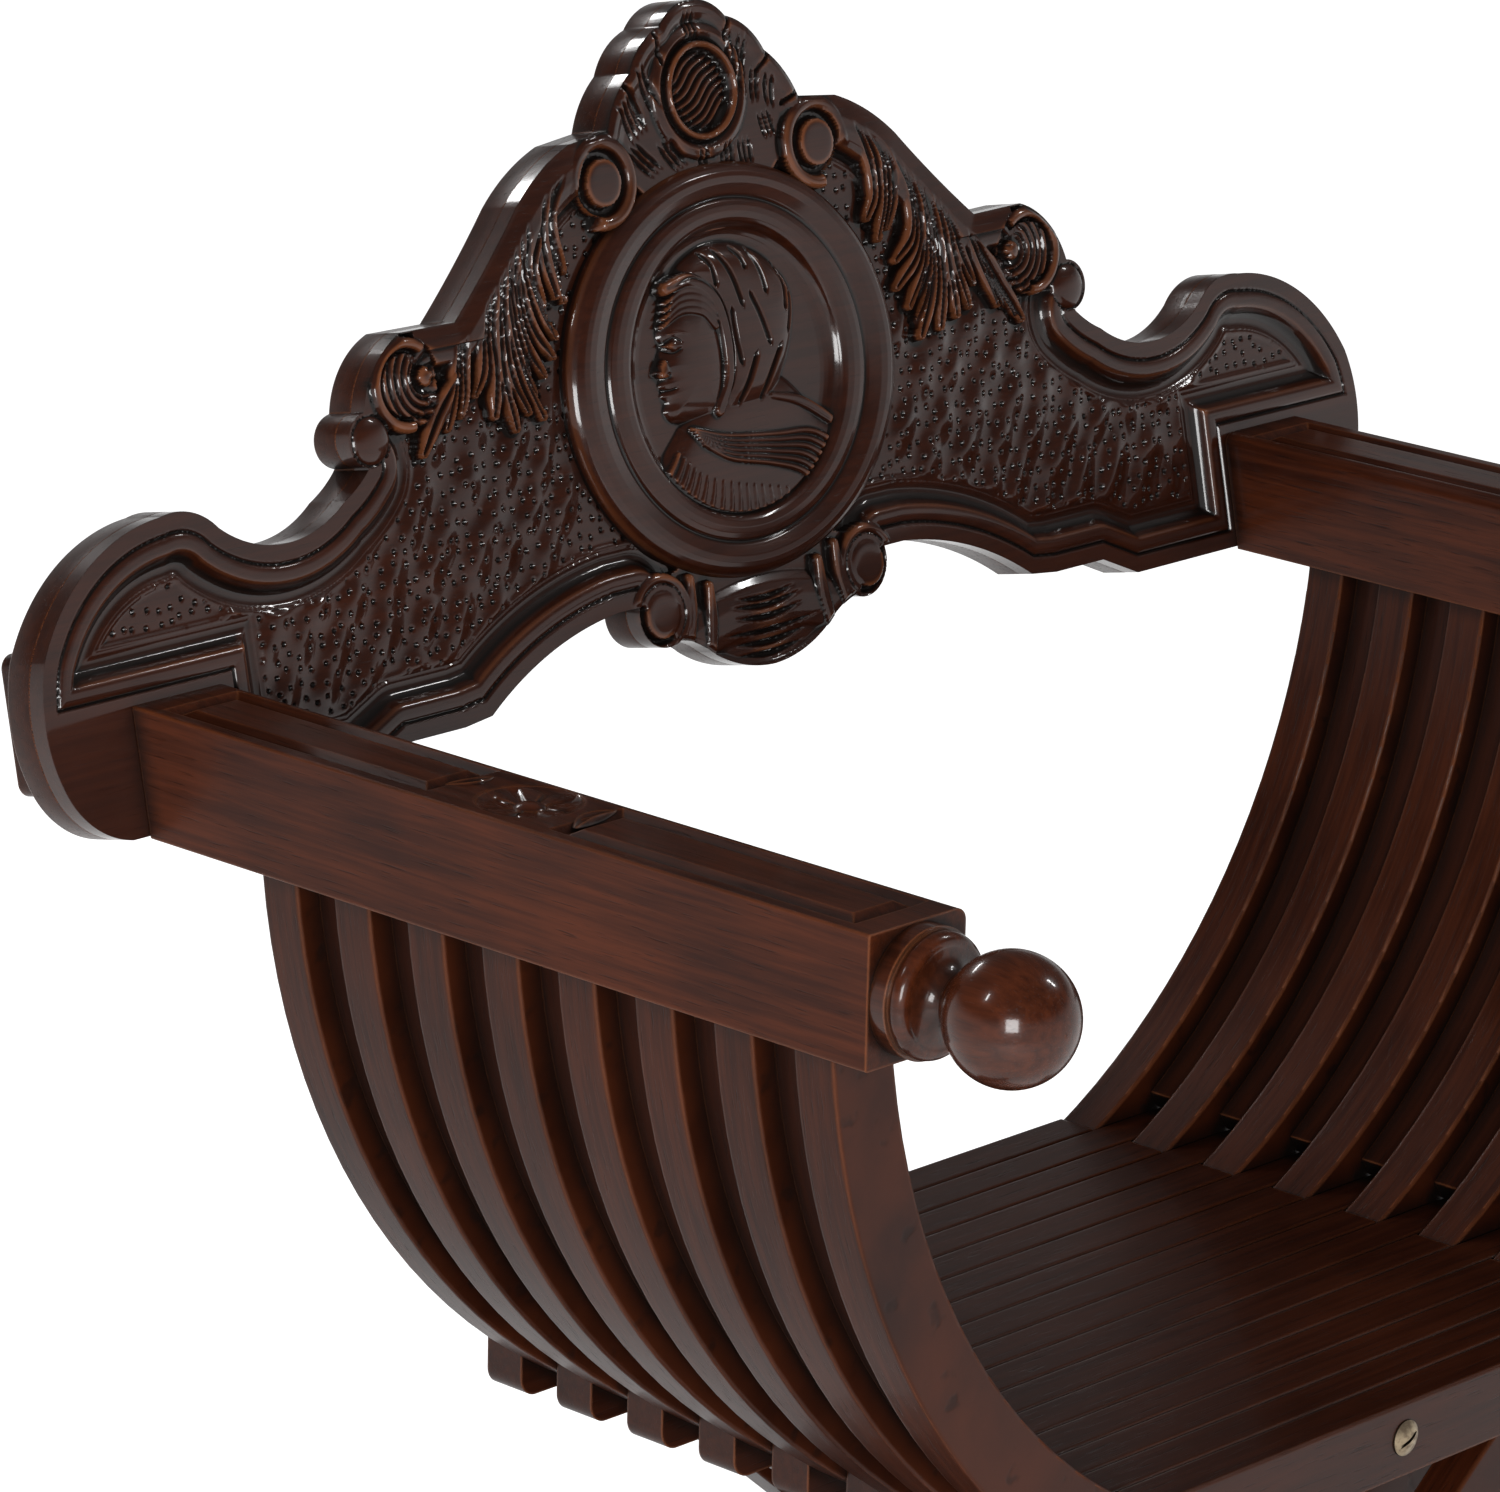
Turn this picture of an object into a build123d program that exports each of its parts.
from build123d import *
import os
from math import acos, atan2, cos, degrees, hypot, radians, sin, sqrt, tan

# Savonarola folding chair. Millimetres, +Z up, +X to the right as seen from the front, +Y to the back.
# The origin is on the floor, in the middle of the chair's width and depth.

# Heights above the floor
arm_top = 702.0
crossing_height = 357.5
foot_height = 38.0

# Arm rests
arm_span = 586.0
arm_width = 42.3
arm_height = 42.6
arm_length = 321.8
arm_inner_round = 4.5
arm_edge_round = 0.8

# Carving on top of each arm: two sunk frames with a sunk round flower between them
groove_margin = 5.0
groove_width = 7.4
groove_depth = 2.2
panel_front_margin = 10.5
panel_rear_margin = 9.5
front_panel_length = 127.0
rear_panel_length = 121.0
flower_from_front = 162.0
flower_radius = 17.5
flower_depth = 4.0
flower_button_radius = 5.2
flower_button_height = 3.6

# Ball finial on the front of each arm
finial_base_radius = 20.6
finial_base_thickness = 6.0
finial_line_depth = 1.2
finial_line_width = 0.9
finial_roll_radius = 19.6
finial_roll_reach = 11.5
finial_roll_waist = 15.5
finial_neck_radius = 8.0
finial_neck_reach = 16.8
finial_neck_dip = 1.5
finial_collar_radius = 10.2
finial_collar_reach = 19.6
finial_ball_radius = 20.8
finial_ball_reach = 37.6

# Slat stack: slats of the left and right frames alternate from front to back
slats_per_side = 8
slat_thickness = 16.3
slat_gap = 0.3
slat_width = 26.4
slat_inset = 7.3
slat_edge_round = 1.1
stack_front_inset = 20.0

# Middle line of an S-shaped slat, from the crossing outwards
crossing_slope = 40.0
crossing_straight = 84.1
easing_radius = 343.0
easing_slope = 26.5

# Strips that fill the gaps between the slats of one frame above the seat
spacer_depth = 8.4
spacer_seat_gap = 3.4
spacer_overrun = 4.0

# Seat slats, hinged in turn to the left and right frames
seat_over_crossing = 113.0
seat_slat_height = 26.0
seat_hinge_reach = 137.0
seat_hinge_drop = 12.4
seat_slat_tail = 28.0
seat_tail_round = 7.0
seat_tip_cut = 2.2
seat_edge_round = 1.2
seat_end_clearance = 0.6

# Rods, bores and screws
crossing_rod_radius = 6.0
hinge_rod_radius = 3.5
seat_rod_radius = 3.0
running_clearance = 0.05
rod_cover = 7.0
rod_end_clearance = 0.5
slot_run = 30.0
slot_rise = 0.2
slot_fall = 4.2
slot_clearance = 0.6
slot_cover = 3.0
screw_head_radius = 6.2
screw_head_height = 2.6
screw_rim = 0.5
screw_shoulder_radius = 4.092
screw_shoulder_height = 1.636512
screw_shank_radius = 2.0
screw_slot_width = 1.3
screw_slot_depth = 1.2
screw_slot_turn = 28.0
cap_radius = 9.0
cap_height = 4.0

# Crest rail, lying against the sloping rear ends of the arms
recline = 12.0
crest_thickness = 18.0
crest_height = 192.5
crest_overhang = 36.5
crest_play = 0.15
crest_fold_play = 6.0
pin_drop = 21.0
pin_radius = 5.0
pin_in_arm = 24.0
pin_in_cleat = 14.0
peg_clearance = 1.6
peg_slot_slant = 26.0
peg_slot_length = 60.0
cleat_outset = 10.0
cleat_width = 62.0
cleat_thickness = 20.0
cleat_top = 20.0
cleat_bottom = -27.0
cleat_round = 5.0

# Raised and sunk forms on the crest's face
field_depth = 4.5
medallion_height = 63.5
medallion_rise = 2.5
medallion_half_width = 81.0
medallion_half_height = 72.0
medallion_line_margin = 17.0
medallion_line_width = 2.4
medallion_line_depth = 1.2
medallion_dish_half_width = 52.0
medallion_dish_half_height = 51.0
medallion_dish_depth = 4.5
cabochon_height = 160.0
cabochon_radius = 17.0
cabochon_rise = 1.5
volute_eye_radius = 8.5
volute_eye_rise = 1.8
upper_volute_reach = 53.2
upper_volute_height = 136.0
lower_volute_reach = 51.8
lower_volute_height = -14.0
rosette_reach = 159.0
rosette_height = 82.0
rosette_radius = 14.0
button_reach = 175.7
button_height = 67.0

# Feet
foot_length = 350.0
foot_width = 46.0
foot_front_reach = 20.0
foot_nose = 18.0
foot_toe_lift = 6.0
foot_edge_round = 3.0

# Derived places
slope_sin = sin(radians(recline))
slope_cos = cos(radians(recline))
front_reach = finial_ball_reach + finial_ball_radius
rear_reach = arm_length + crest_height * slope_sin + (crest_play + crest_thickness) * slope_cos
arm_front = (front_reach - rear_reach) / 2
arm_rear = arm_front + arm_length
arm_underside = arm_top - arm_height
arm_middle = arm_span / 2 - arm_width / 2
slat_pitch = slat_thickness + slat_gap
last_place = 2 * slats_per_side - 1
stack_front = arm_front + stack_front_inset
stack_back = stack_front + last_place * slat_pitch + slat_thickness
slat_end_reach = arm_span / 2 - slat_inset - slat_width / 2
seat_top = crossing_height + seat_over_crossing
hinge_height = seat_top - seat_hinge_drop
seat_bottom = seat_top - seat_slat_height
crest_half_width = arm_span / 2 + crest_overhang
seat_bore_radius = hinge_rod_radius + running_clearance

crest_face = Plane(
    origin=(0, arm_rear, arm_top),
    x_dir=(1, 0, 0),
    z_dir=(0, -slope_cos, slope_sin),
)


def front_view(depth):
    """Upright plane at a depth, seen from the front: X to the right, Z up."""
    return Plane.XZ.offset(-depth)


def slat_front(place):
    """Depth of the front face of the slat at this place in the stack, 0 being the front one."""
    return stack_front + place * slat_pitch


def save(piece, name):
    """Label a finished piece and write it to its own file."""
    piece.part.label = name
    export_step(piece.part, "parts/" + name + ".step")


def knee_place():
    """Place of the knee between a slat's easing arc and bowl arc, counted from the crossing."""
    slope = radians(crossing_slope)
    eased = radians(easing_slope)
    knee_x = crossing_straight * cos(slope) + easing_radius * (sin(slope) - sin(eased))
    knee_z = crossing_straight * sin(slope) + easing_radius * (cos(eased) - cos(slope))
    return knee_x, knee_z


def bowl_arc(reach, rise):
    """Radius and turn in degrees of the arc that leaves the knee at the eased slope and ends there."""
    knee_x, knee_z = knee_place()
    chord = hypot(reach - knee_x, rise - knee_z)
    lean = atan2(rise - knee_z, reach - knee_x) - radians(easing_slope)
    return chord / (2 * sin(lean)), degrees(2 * lean)


def slat_edge(reach, rise, shift):
    """Long edge of a left slat from the crossing outwards, shifted to the inside of the bowl."""
    slope = radians(crossing_slope)
    radius, turn = bowl_arc(reach, rise)
    start = (shift * sin(slope), crossing_height + shift * cos(slope))
    with BuildLine() as edge:
        straight = PolarLine(start, crossing_straight, 180 - crossing_slope)
        easing = JernArc(straight @ 1, straight % 1, easing_radius + shift, crossing_slope - easing_slope)
        bowl = JernArc(easing @ 1, easing % 1, radius - shift, -turn)
        PolarLine(bowl @ 1, slat_width, 180 - easing_slope - turn)
    return edge.line


def half_slat(reach, rise, grow):
    """Side of a left slat from the crossing outwards, widened by grow on both edges."""
    half_width = slat_width / 2 + grow
    inner = slat_edge(reach, rise, half_width)
    outer = slat_edge(reach, rise, -half_width)
    with BuildSketch() as area:
        with BuildLine():
            add(inner)
            add(outer)
            Line(inner @ 0, outer @ 0)
            Line(inner @ 1, outer @ 1)
        make_face()
    return area.sketch


def slat_profile(grow=0.0):
    """Whole S-shaped side of a left slat, cut off level at the arm and at the foot."""
    upper = half_slat(slat_end_reach, arm_underside - crossing_height, grow)
    lower = half_slat(slat_end_reach, crossing_height - foot_height, grow)
    half_turn = Pos(0, 2 * crossing_height) * Rot(0, 0, 180)
    with BuildSketch() as area:
        add(upper)
        add(half_turn * lower)
        with Locations((0, arm_underside)):
            Rectangle(2 * arm_span, arm_span, align=(Align.CENTER, Align.MIN), mode=Mode.SUBTRACT)
        with Locations((0, foot_height)):
            Rectangle(2 * arm_span, arm_span, align=(Align.CENTER, Align.MAX), mode=Mode.SUBTRACT)
    return area.sketch


def spacer_profile():
    """Curved strip along the left slat's middle line, square at its lower end, level at the arm."""
    radius, turn = bowl_arc(slat_end_reach, arm_underside - crossing_height)
    knee_x, knee_z = knee_place()
    eased = radians(easing_slope)
    centre = (-knee_x + radius * sin(eased), crossing_height + knee_z + radius * cos(eased))
    start_slope = degrees(acos((centre[1] - seat_top - spacer_seat_gap) / radius))
    sweep = start_slope - easing_slope - turn - spacer_overrun
    with BuildSketch() as area:
        with BuildLine():
            inner = CenterArc(centre, radius - spacer_depth / 2, 270 - start_slope, sweep)
            outer = CenterArc(centre, radius + spacer_depth / 2, 270 - start_slope, sweep)
            Line(inner @ 0, outer @ 0)
            Line(inner @ 1, outer @ 1)
        make_face()
        with Locations((0, arm_underside)):
            Rectangle(2 * arm_span, arm_span, align=(Align.CENTER, Align.MIN), mode=Mode.SUBTRACT)
    return area.sketch


def seat_profile():
    """Side of a seat slat hinged to the left frame, its free end cut to rest on the right slat."""
    tail = -seat_hinge_reach - seat_slat_tail
    right_slat = mirror(slat_profile(seat_end_clearance), about=Plane.YZ)
    with BuildSketch() as area:
        with Locations((tail, seat_bottom)):
            Rectangle(seat_hinge_reach - tail, seat_slat_height, align=(Align.MIN, Align.MIN))
        add(right_slat, mode=Mode.SUBTRACT)
        fillet(area.vertices().group_by(Axis.X)[0].sort_by(Axis.Y)[0], seat_tail_round)
        tip = area.vertices().group_by(Axis.Y)[-1].sort_by(Axis.X)[-1]
        with Locations((tip.X - seat_tip_cut, seat_bottom)):
            Rectangle(seat_hinge_reach, seat_slat_height, align=(Align.MIN, Align.MIN), mode=Mode.SUBTRACT)
    return area.sketch


def frame_slat(profile, side, place):
    """One S-shaped slat with its bores for the crossing rod and the seat's hinge rod."""
    front = slat_front(place)
    back = front + slat_thickness
    crossing_radius = crossing_rod_radius
    if side > 0:
        crossing_radius += running_clearance
    hinge_start = front
    hinge_depth = slat_thickness
    if place == 0:
        hinge_start = front + rod_cover
    if place == last_place:
        hinge_depth -= rod_cover
    with BuildPart() as piece:
        with BuildSketch(front_view(front)):
            add(profile)
        extrude(amount=-slat_thickness)
        faces_of_stack = piece.faces().filter_by(Axis.Y)
        fillet(faces_of_stack.edges().filter_by(Axis.X, reverse=True), slat_edge_round)
        with BuildSketch(front_view(front)):
            with Locations((0, crossing_height)):
                Circle(crossing_radius)
        extrude(amount=front - back, mode=Mode.SUBTRACT)
        with BuildSketch(front_view(hinge_start)):
            with Locations((side * seat_hinge_reach, hinge_height)):
                Circle(seat_bore_radius)
        extrude(amount=-hinge_depth, mode=Mode.SUBTRACT)
    return piece


def seat_slat(profile, side, place):
    """One seat slat with its hinge bore and the bore or slot for the seat's middle rod."""
    front = slat_front(place)
    hinge_start = front
    hinge_depth = slat_thickness
    middle_depth = slat_thickness
    if place == 0:
        hinge_start = front + rod_cover
    if place == last_place:
        hinge_depth -= rod_cover
        middle_depth -= slot_cover
    with BuildPart() as piece:
        with BuildSketch(front_view(front)):
            add(profile)
        extrude(amount=-slat_thickness)
        fillet(piece.edges().filter_by(Axis.X).group_by(Axis.Z)[-1], seat_edge_round)
        with BuildSketch(front_view(hinge_start)):
            with Locations((side * seat_hinge_reach, hinge_height)):
                Circle(hinge_rod_radius)
        extrude(amount=-hinge_depth, mode=Mode.SUBTRACT)
        if side < 0:
            slot_round = seat_rod_radius + slot_clearance
            slot_width = slot_run + 2 * slot_round
            slot_height = slot_rise + slot_fall + 2 * slot_round
            with BuildSketch(front_view(front)):
                with Locations((-slot_run / 2, hinge_height + (slot_rise - slot_fall) / 2)):
                    RectangleRounded(slot_width, slot_height, slot_round)
            extrude(amount=-middle_depth, mode=Mode.SUBTRACT)
        elif place == 0:
            with BuildSketch(front_view(front)):
                with Locations((0, hinge_height)):
                    Circle(screw_shank_radius)
            extrude(amount=-rod_cover, mode=Mode.SUBTRACT)
            with BuildSketch(front_view(front + rod_cover)):
                with Locations((0, hinge_height)):
                    Circle(seat_rod_radius)
            extrude(amount=-slat_thickness, mode=Mode.SUBTRACT)
        else:
            with BuildSketch(front_view(front)):
                with Locations((0, hinge_height)):
                    Circle(seat_rod_radius)
            extrude(amount=-slat_thickness, mode=Mode.SUBTRACT)
    return piece


def rod(across, height, start, end, radius):
    """Round rod from one depth to another."""
    with BuildPart() as piece:
        with BuildSketch(front_view(start)):
            with Locations((across, height)):
                Circle(radius)
        extrude(amount=start - end)
    return piece


def screw(height, shank_length):
    """Slotted oval screw head on the front of the stack, with a plain shank behind it if it has one."""
    centre = (0, stack_front, height)
    turning = Plane(origin=centre, x_dir=(0, -1, 0), z_dir=(1, 0, 0))
    shoulder = (screw_shoulder_height, -screw_shoulder_radius)
    with BuildPart() as piece:
        with BuildSketch(turning):
            with BuildLine():
                rim = Polyline((0, 0), (0, -screw_head_radius), (screw_rim, -screw_head_radius))
                dome = ThreePointArc(rim @ 1, shoulder, (screw_head_height, 0))
                Line(dome @ 1, (0, 0))
            make_face()
        revolve(axis=Axis(centre, (0, -1, 0)))
        with BuildSketch(front_view(stack_front - screw_head_height)):
            with Locations((0, height)):
                Rectangle(3 * screw_head_radius, screw_slot_width, rotation=screw_slot_turn)
        extrude(amount=-screw_slot_depth, mode=Mode.SUBTRACT)
        if shank_length > 0:
            with BuildSketch(front_view(stack_front)):
                with Locations((0, height)):
                    Circle(screw_shank_radius)
            extrude(amount=-shank_length)
    return piece


def frame_groove(middle, start, length):
    """V-shaped groove around a long panel in the arm's top, as the solid to cut away."""
    width = arm_width - 2 * groove_margin
    centre = (middle, start + length / 2)
    with BuildPart() as piece:
        with BuildSketch(Plane.XY.offset(arm_top)):
            with Locations(centre):
                Rectangle(width, length)
        with BuildSketch(Plane.XY.offset(arm_top - groove_depth)):
            with Locations(centre):
                Rectangle(width - groove_width, length - groove_width)
        loft(ruled=True)
        with BuildSketch(Plane.XY.offset(arm_top)):
            with Locations(centre):
                Rectangle(width - 2 * groove_width, length - 2 * groove_width)
        with BuildSketch(Plane.XY.offset(arm_top - groove_depth)):
            with Locations(centre):
                Rectangle(width - groove_width, length - groove_width)
        loft(ruled=True, mode=Mode.SUBTRACT)
    return piece.part


def arm(side):
    """Arm rest on the left (-1) or right (1), its rear end sloping with the crest."""
    middle = side * arm_middle
    rear_shift = arm_height * tan(radians(recline))
    front_groove = frame_groove(middle, arm_front + panel_front_margin, front_panel_length)
    rear_start = arm_rear - panel_rear_margin - rear_panel_length
    rear_groove = frame_groove(middle, rear_start, rear_panel_length)
    dish_radius = (flower_radius**2 + flower_depth**2) / (2 * flower_depth)
    flower_y = arm_front + flower_from_front
    flower_floor = arm_top - flower_depth
    inwards = Axis((0, 0, 0), (-side, 0, 0))
    with BuildPart() as piece:
        with BuildSketch(Plane.YZ.offset(middle)):
            with BuildLine():
                Polyline(
                    (arm_front, arm_underside),
                    (arm_front, arm_top),
                    (arm_rear, arm_top),
                    (arm_rear - rear_shift, arm_underside),
                    close=True,
                )
            make_face()
        extrude(amount=arm_width / 2, both=True)
        long_edges = piece.edges().filter_by(Axis.Y).sort_by(inwards)
        inner_top = long_edges[-2:].sort_by(Axis.Z)[-1]
        outer_edges = long_edges[:2]
        fillet(inner_top, arm_inner_round)
        fillet(outer_edges, arm_edge_round)
        add(front_groove, mode=Mode.SUBTRACT)
        add(rear_groove, mode=Mode.SUBTRACT)
        with Locations((middle, flower_y, flower_floor + dish_radius)):
            Sphere(dish_radius, mode=Mode.SUBTRACT)
        with Locations((middle, flower_y, flower_floor + flower_button_height - flower_button_radius)):
            Sphere(flower_button_radius)
        with BuildSketch(crest_face):
            with Locations((middle, -pin_drop)):
                Circle(pin_radius)
        extrude(amount=pin_in_arm, mode=Mode.SUBTRACT)
    return piece


def finial(side):
    """Turned ball finial: base disc, roll, hollow neck, collar and ball, its axis to the front."""
    centre = (side * arm_middle, arm_front, arm_top - arm_height / 2)
    turning = Plane(origin=centre, x_dir=(0, -1, 0), z_dir=(1, 0, 0))
    line_radius = finial_base_radius - finial_line_depth
    roll_start = finial_base_thickness + finial_line_width
    collar_drop = sqrt(finial_ball_radius**2 - (finial_ball_reach - finial_collar_reach) ** 2)
    with BuildPart() as piece:
        with BuildSketch(turning):
            with BuildLine():
                base = Polyline(
                    (0, 0),
                    (0, -finial_base_radius),
                    (finial_base_thickness, -finial_base_radius),
                    (finial_base_thickness, -line_radius),
                    (roll_start, -line_radius),
                )
                roll = ThreePointArc(
                    base @ 1,
                    ((roll_start + finial_roll_reach) / 2, -finial_roll_radius),
                    (finial_roll_reach, -finial_roll_waist),
                )
                neck = ThreePointArc(
                    roll @ 1,
                    ((finial_roll_reach + finial_neck_reach) / 2, -finial_neck_radius - finial_neck_dip),
                    (finial_neck_reach, -finial_neck_radius),
                )
                collar = ThreePointArc(
                    neck @ 1,
                    ((finial_neck_reach + finial_collar_reach) / 2, -finial_collar_radius),
                    (finial_collar_reach, -collar_drop),
                )
                tip = (finial_ball_reach + finial_ball_radius, 0)
                ThreePointArc(collar @ 1, (finial_ball_reach, -finial_ball_radius), tip)
                Line(tip, (0, 0))
            make_face()
        revolve(axis=Axis(centre, (0, -1, 0)))
    return piece


def foot(side):
    """Runner under one end of the slats, with rounded toes at both ends."""
    start = arm_front - foot_front_reach
    end = start + foot_length
    with BuildPart() as piece:
        with BuildSketch(Plane.YZ.offset(side * arm_middle)):
            with BuildLine():
                sole = Line((start + foot_nose, 0), (end - foot_nose, 0))
                heel = ThreePointArc(sole @ 1, (end - foot_toe_lift, foot_toe_lift), (end, foot_nose))
                back = ThreePointArc(
                    heel @ 1,
                    (end - foot_toe_lift, foot_height - foot_toe_lift),
                    (end - foot_nose, foot_height),
                )
                top = Line(back @ 1, (start + foot_nose, foot_height))
                front = ThreePointArc(
                    top @ 1,
                    (start + foot_toe_lift, foot_height - foot_toe_lift),
                    (start, foot_nose),
                )
                ThreePointArc(front @ 1, (start + foot_toe_lift, foot_toe_lift), sole @ 0)
            make_face()
        extrude(amount=foot_width / 2, both=True)
        fillet(piece.edges().filter_by(Axis.Y).group_by(Axis.Z)[-1], foot_edge_round)
    return piece


def cleat(side, gap):
    """Block behind one end of the crest, held to the arm by the pin that passes through the crest."""
    plane = crest_face.offset(-crest_play - crest_thickness - gap)
    with BuildPart() as piece:
        with BuildSketch(plane) as outline:
            with Locations((side * (arm_middle + cleat_outset), (cleat_top + cleat_bottom) / 2)):
                Rectangle(cleat_width, cleat_top - cleat_bottom)
            fillet(outline.vertices().group_by(Axis.Z)[-1], cleat_round)
        extrude(amount=-cleat_thickness)
        with BuildSketch(plane):
            with Locations((side * arm_middle, -pin_drop)):
                Circle(pin_radius)
        extrude(amount=-pin_in_cleat, mode=Mode.SUBTRACT)
    return piece


def crest_pin(side, gap):
    """Round pin from the arm through the crest into the cleat."""
    length = pin_in_arm + crest_play + crest_thickness + gap + pin_in_cleat
    with BuildPart() as piece:
        with BuildSketch(crest_face.offset(pin_in_arm)):
            with Locations((side * arm_middle, -pin_drop)):
                Circle(pin_radius)
        extrude(amount=-length)
    return piece


def crest_outline():
    """Edge of the right half of the crest from the pendant's tip round the shoulder to the crown."""
    outer = crest_half_width
    with BuildLine() as edge:
        ThreePointArc((0, -40.5), (16, -37.8), (30, -31))
        ThreePointArc((30, -31), (37, -26.5), (44, -24))
        ThreePointArc((44, -24), (57, -23.5), (62, -9.5))
        Line((62, -9.5), (72, -9.5))
        ThreePointArc((72, -9.5), (104, -16.3), (137, -33))
        Polyline((137, -33), (150, -34.5), (176, -34.5), (194, -42.5), (outer - 29.5, -42.5))
        ThreePointArc((outer - 29.5, -42.5), (outer - 14.5, -35.5), (outer - 4.5, -22))
        ThreePointArc((outer - 4.5, -22), (outer, 0), (outer - 3.5, 20))
        ThreePointArc((outer - 3.5, 20), (outer - 24.5, 45), (outer - 59.5, 57.5))
        ThreePointArc((outer - 59.5, 57.5), (outer - 72.5, 57), (outer - 83.5, 50))
        ThreePointArc((outer - 83.5, 50), (outer - 111.5, 40), (190, 49))
        ThreePointArc((190, 49), (183, 53), (177, 58))
        ThreePointArc((177, 58), (184.5, 68), (176, 76.5))
        ThreePointArc((176, 76.5), (168.5, 91), (155, 100))
        Line((155, 100), (130, 99.6))
        ThreePointArc((130, 99.6), (113, 115), (94.5, 133.7))
        ThreePointArc((94.5, 133.7), (81, 144), (66, 151))
        Line((66, 151), (47.7, 153))
        ThreePointArc((47.7, 153), (42, 163), (33.6, 171))
        ThreePointArc((33.6, 171), (26.3, 180), (16.5, 185))
        ThreePointArc((16.5, 185), (8.6, 190.8), (0, crest_height))
    return edge.line


def crest():
    """Carved crest rail: sunk fields, raised medallion, cabochon, volute eyes, rosettes and buttons."""
    right_edge = crest_outline()
    left_edge = mirror(right_edge, about=Plane.YZ)
    face = crest_face.offset(-crest_play)
    outer = crest_half_width
    slot_radius = pin_radius + peg_clearance
    with BuildPart() as piece:
        with BuildSketch(face):
            with BuildLine():
                add(right_edge)
                add(left_edge)
            make_face()
        extrude(amount=-crest_thickness)
        with BuildSketch(face):
            for side in (-1, 1):
                with BuildLine():
                    Polyline(
                        (side * (outer - 98.5), -22),
                        (side * (outer - 98.5), 20),
                        (side * 205, 23),
                        (side * 178, 36),
                        (side * 156, 56),
                        (side * 120, 70),
                        (side * 92, 100),
                        (side * 84, 90),
                        (side * 84, 6),
                        (side * 115, 1),
                        (side * 142, -13),
                        (side * 184, -15),
                        close=True,
                    )
                make_face()
                with BuildLine():
                    floor = Line((side * (outer - 24.5), 22), (side * (outer - 83.5), 22))
                    brow = ThreePointArc(floor @ 1, (side * (outer - 74.5), 31), (side * (outer - 61.5), 38.5))
                    ThreePointArc(brow @ 1, (side * (outer - 37.5), 36), floor @ 0)
                make_face()
        extrude(amount=-field_depth, mode=Mode.SUBTRACT)
        with BuildSketch(face):
            with Locations((0, medallion_height)):
                Ellipse(medallion_half_width, medallion_half_height)
        extrude(amount=medallion_rise)
        with BuildSketch(face.offset(medallion_rise)):
            with Locations((0, medallion_height)):
                Ellipse(
                    medallion_half_width - medallion_line_margin,
                    medallion_half_height - medallion_line_margin + medallion_line_width * 2,
                )
                Ellipse(
                    medallion_half_width - medallion_line_margin - medallion_line_width,
                    medallion_half_height - medallion_line_margin + medallion_line_width,
                    mode=Mode.SUBTRACT,
                )
        extrude(amount=-medallion_line_depth, mode=Mode.SUBTRACT)
        with BuildSketch(face.offset(medallion_rise)):
            with Locations((0, medallion_height)):
                Ellipse(medallion_dish_half_width, medallion_dish_half_height)
        extrude(amount=-medallion_dish_depth, mode=Mode.SUBTRACT)
        with BuildSketch(face):
            with Locations((0, cabochon_height)):
                Circle(cabochon_radius)
        extrude(amount=cabochon_rise)
        with BuildSketch(face):
            for side in (-1, 1):
                with Locations((side * upper_volute_reach, upper_volute_height)):
                    Circle(volute_eye_radius)
                with Locations((side * lower_volute_reach, lower_volute_height)):
                    Circle(volute_eye_radius)
                with Locations((side * button_reach, button_height)):
                    Circle(volute_eye_radius)
                with Locations((side * rosette_reach, rosette_height)):
                    Circle(rosette_radius)
        extrude(amount=volute_eye_rise)
        with BuildSketch(face):
            with Locations((-arm_middle, -pin_drop)):
                Circle(pin_radius + running_clearance)
            with Locations((arm_middle, -pin_drop)):
                Circle(slot_radius)
                Rectangle(
                    2 * slot_radius,
                    peg_slot_length,
                    rotation=-peg_slot_slant,
                    align=(Align.CENTER, Align.MAX),
                )
        extrude(amount=-crest_thickness, mode=Mode.SUBTRACT)
    return piece


os.makedirs("parts", exist_ok=True)

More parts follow.
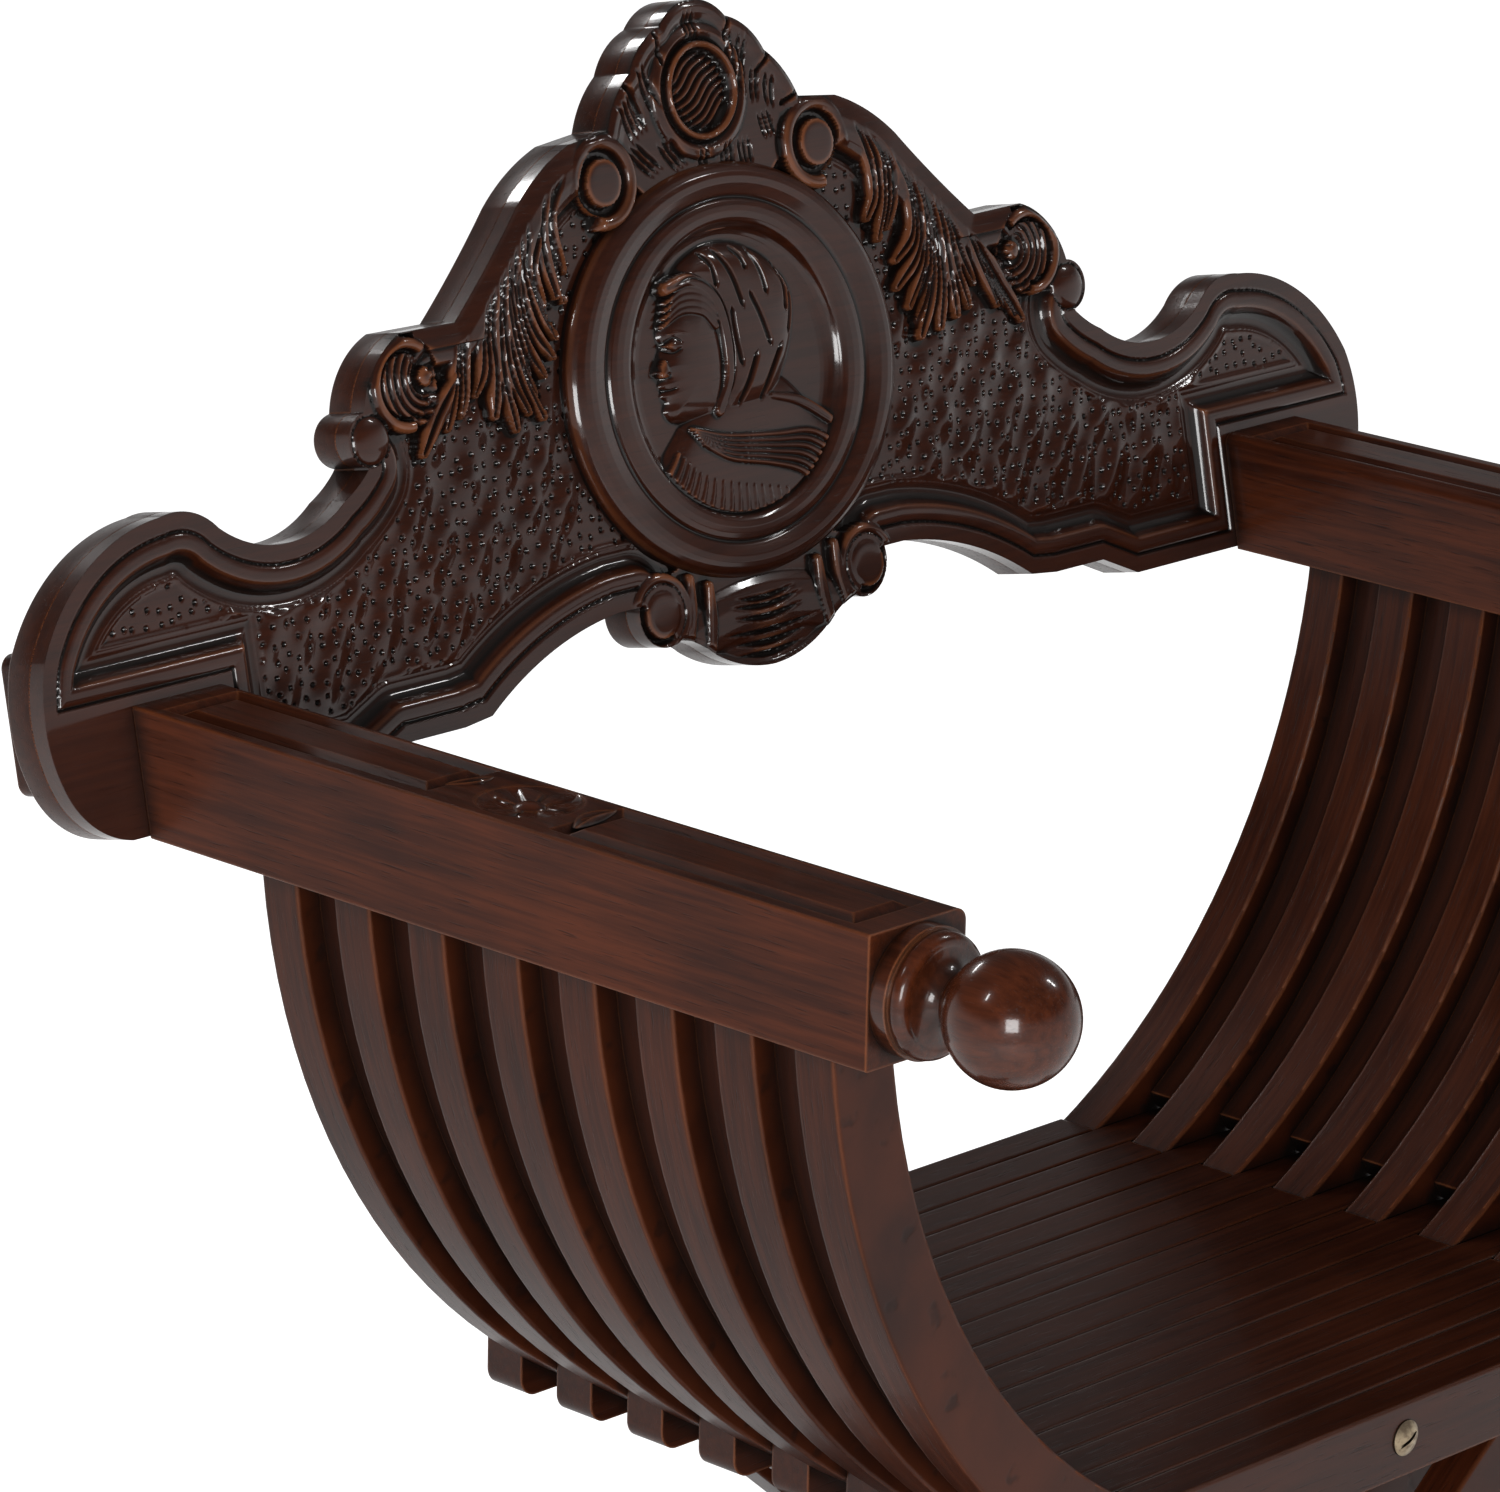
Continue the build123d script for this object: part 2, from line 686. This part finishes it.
left_slat_side = slat_profile()
right_slat_side = mirror(left_slat_side, about=Plane.YZ)
left_seat_side = seat_profile()
right_seat_side = mirror(left_seat_side, about=Plane.YZ)
left_spacer_side = spacer_profile()
right_spacer_side = mirror(left_spacer_side, about=Plane.YZ)

# Places count from the front: even ones hold the left frame's slats, odd ones the right frame's
for number in range(1, slats_per_side + 1):
    left_place = 2 * number - 2
    right_place = 2 * number - 1
    save(frame_slat(left_slat_side, -1, left_place), f"left_slat_{number}")
    save(frame_slat(right_slat_side, 1, right_place), f"right_slat_{number}")
    # A seat slat hinged to one frame lies in the other frame's places
    save(seat_slat(left_seat_side, -1, right_place), f"left_seat_slat_{number}")
    save(seat_slat(right_seat_side, 1, left_place), f"right_seat_slat_{number}")

for name, side_area, first_place in (
    ("left_spacers", left_spacer_side, 1),
    ("right_spacers", right_spacer_side, 2),
):
    with BuildPart() as spacers:
        for gap_number in range(slats_per_side - 1):
            place = first_place + 2 * gap_number
            with BuildSketch(front_view(slat_front(place) - slat_gap)):
                add(side_area)
            extrude(amount=-slat_thickness - 2 * slat_gap)
    save(spacers, name)

for name, side in (("left", -1), ("right", 1)):
    gap = crest_play if side < 0 else crest_fold_play
    save(arm(side), f"{name}_arm")
    save(finial(side), f"{name}_finial")
    save(foot(side), f"{name}_foot")
    save(cleat(side, gap), f"{name}_cleat")
    save(crest_pin(side, gap), f"{name}_crest_pin")

save(crest(), "crest_rail")

hinge_start = stack_front + rod_cover
hinge_end = stack_back - rod_cover
running_start = hinge_start + rod_end_clearance
running_end = hinge_end - rod_end_clearance
seat_rod_end = stack_back - slot_cover - rod_end_clearance
cap_start = stack_back + slat_gap

save(rod(0, crossing_height, stack_front, cap_start, crossing_rod_radius), "crossing_rod")
save(rod(0, crossing_height, cap_start, cap_start + cap_height, cap_radius), "crossing_rod_cap")
save(rod(-seat_hinge_reach, hinge_height, running_start, hinge_end, hinge_rod_radius), "left_hinge_rod")
save(rod(seat_hinge_reach, hinge_height, hinge_start, running_end, hinge_rod_radius), "right_hinge_rod")
save(rod(0, hinge_height, hinge_start, seat_rod_end, seat_rod_radius), "seat_rod")
save(screw(hinge_height, rod_cover), "seat_screw")
save(screw(crossing_height, 0), "crossing_screw")
